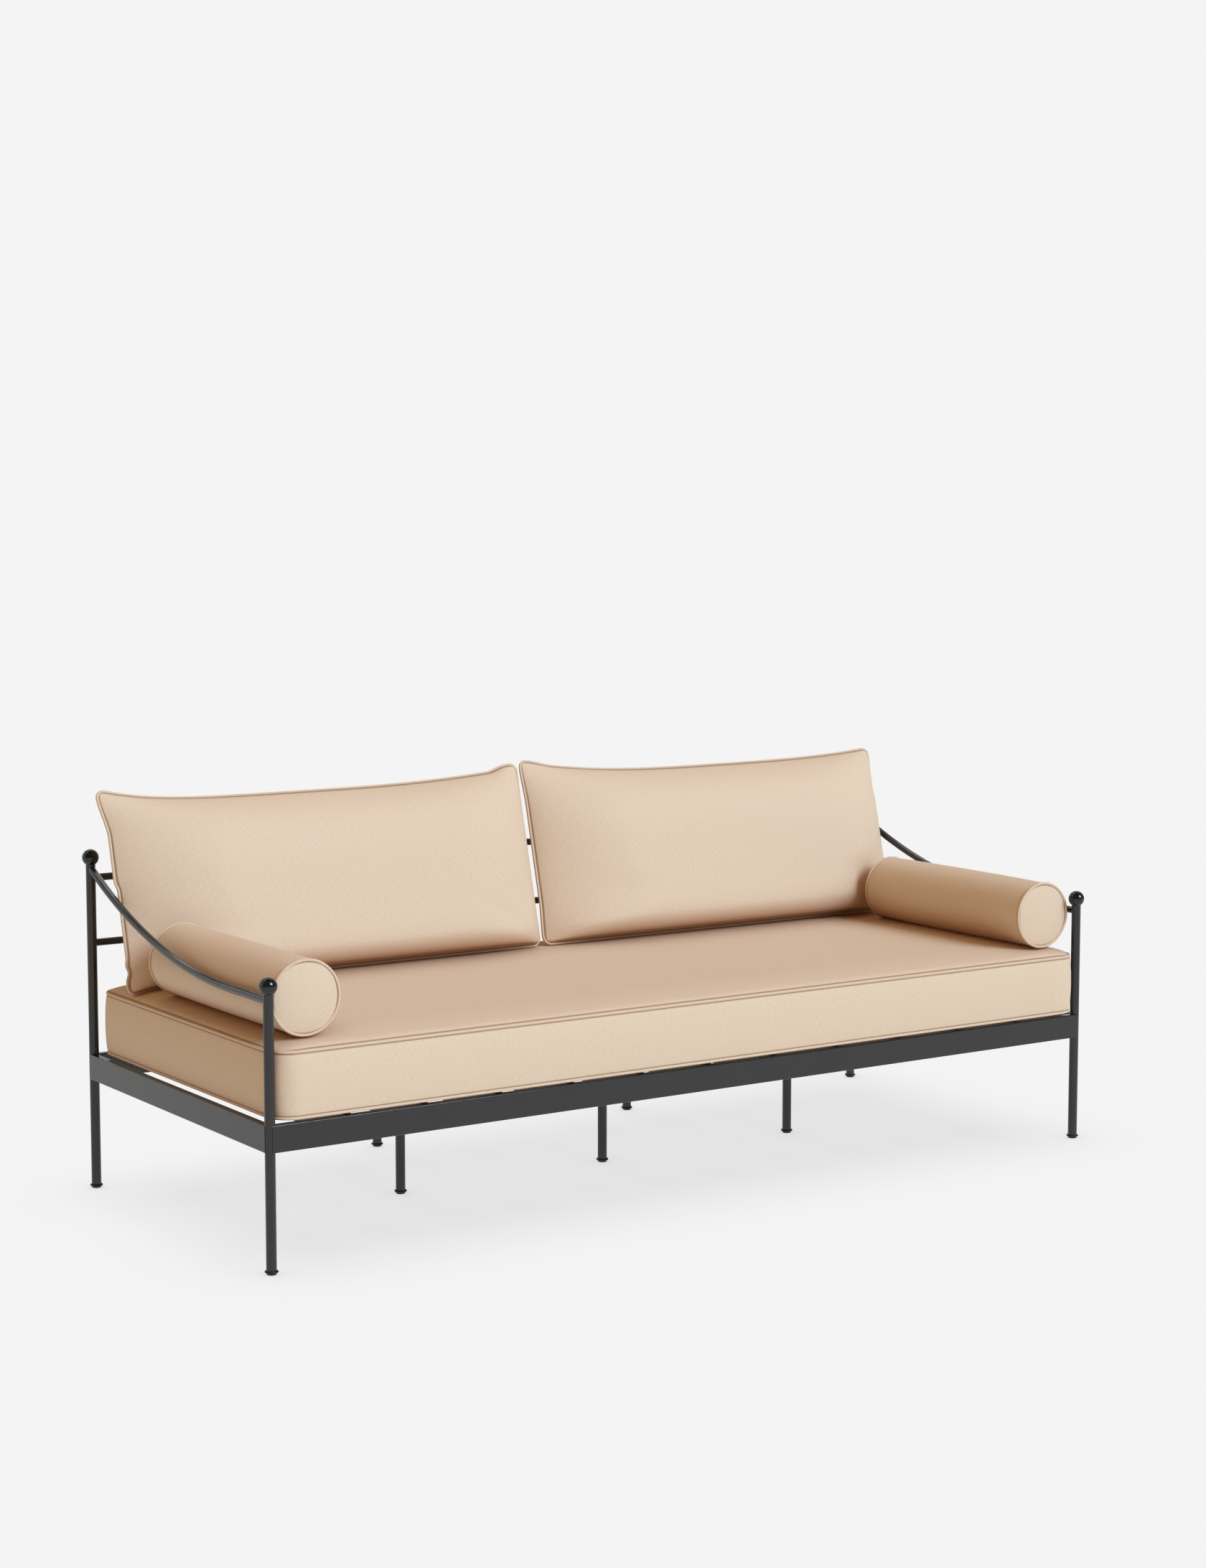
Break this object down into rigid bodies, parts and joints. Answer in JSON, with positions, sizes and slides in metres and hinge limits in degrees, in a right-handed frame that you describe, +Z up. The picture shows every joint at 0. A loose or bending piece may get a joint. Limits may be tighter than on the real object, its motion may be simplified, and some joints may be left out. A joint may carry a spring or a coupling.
{
  "type": "outdoor sofa",
  "caption": "Outdoor sofa: slim dark metal tube frame with ball finials and swept arms, one piped bench seat cushion, leaning knife-edge back cushions and round end bolsters.",
  "frame": {"origin": "on the floor, under the foot of the middle leg", "axes": "+X along the sofa to the right seen from the front, +Y to the back, +Z up"},
  "size_m": [2.1364, 0.8757, 0.8784],
  "materials": {
    "frame_coat": "charcoal-black powder coat, satin",
    "finial": "black coat, gloss",
    "glide": "moulded black plastic, matte",
    "cushion_fabric": "fine plain-weave outdoor fabric, beige",
    "piping": "self-piping of the same weave, cut on the bias"
  },
  "bodies": {
    "frame": {"back_left_ball": "finial", "back_left_foot": "glide", "back_left_leg": "frame_coat", "back_left_leg_foot": "glide", "back_left_post": "frame_coat", "back_rail": "frame_coat", "back_right_ball": "finial", "back_right_foot": "glide", "back_right_leg": "frame_coat", "back_right_leg_foot": "glide", "back_right_post": "frame_coat", "front_left_ball": "finial", "front_left_foot": "glide", "front_left_post": "frame_coat", "front_rail": "frame_coat", "front_right_ball": "finial", "front_right_foot": "glide", "front_right_post": "frame_coat", "left_arm": "frame_coat", "left_rail": "frame_coat", "lower_back_rod": "frame_coat", "lower_left_strut": "frame_coat", "lower_right_strut": "frame_coat", "middle_centre_foot": "glide", "middle_centre_leg": "frame_coat", "middle_left_foot": "glide", "middle_left_leg": "frame_coat", "middle_right_foot": "glide", "middle_right_leg": "frame_coat", "right_arm": "frame_coat", "right_rail": "frame_coat", "slat_01": "frame_coat", "slat_02": "frame_coat", "slat_03": "frame_coat", "slat_04": "frame_coat", "slat_05": "frame_coat", "slat_06": "frame_coat", "slat_07": "frame_coat", "slat_08": "frame_coat", "slat_09": "frame_coat", "slat_10": "frame_coat", "slat_11": "frame_coat", "upper_back_rod": "frame_coat", "upper_left_strut": "frame_coat", "upper_right_strut": "frame_coat"},
    "seat_cushion": {"seat_cushion": "cushion_fabric", "seat_upper_piping": "piping", "seat_lower_piping": "piping"},
    "left_back_cushion": {"left_back_cushion": "cushion_fabric", "left_back_piping": "piping"},
    "right_back_cushion": {"right_back_cushion": "cushion_fabric", "right_back_piping": "piping"},
    "left_bolster": {"left_bolster": "cushion_fabric", "left_bolster_piping": "piping"},
    "right_bolster": {"right_bolster": "cushion_fabric", "right_bolster_piping": "piping"}
  },
  "joints": [
    {"name": "seat_cushion_lift", "type": "slide", "parent": "frame", "child": "seat_cushion", "axis": [0, 0, 1], "range_m": [0, 0.085]},
    {"name": "left_back_cushion_lift", "type": "slide", "parent": "seat_cushion", "child": "left_back_cushion", "axis": [0, 0, 1], "range_m": [0, 0.42]},
    {"name": "right_back_cushion_lift", "type": "slide", "parent": "seat_cushion", "child": "right_back_cushion", "axis": [0, 0, 1], "range_m": [0, 0.42]},
    {"name": "left_bolster_lift", "type": "slide", "parent": "seat_cushion", "child": "left_bolster", "axis": [0, 0, 1], "range_m": [0, 0.3]},
    {"name": "right_bolster_lift", "type": "slide", "parent": "seat_cushion", "child": "right_bolster", "axis": [0, 0, 1], "range_m": [0, 0.3]}
  ]
}
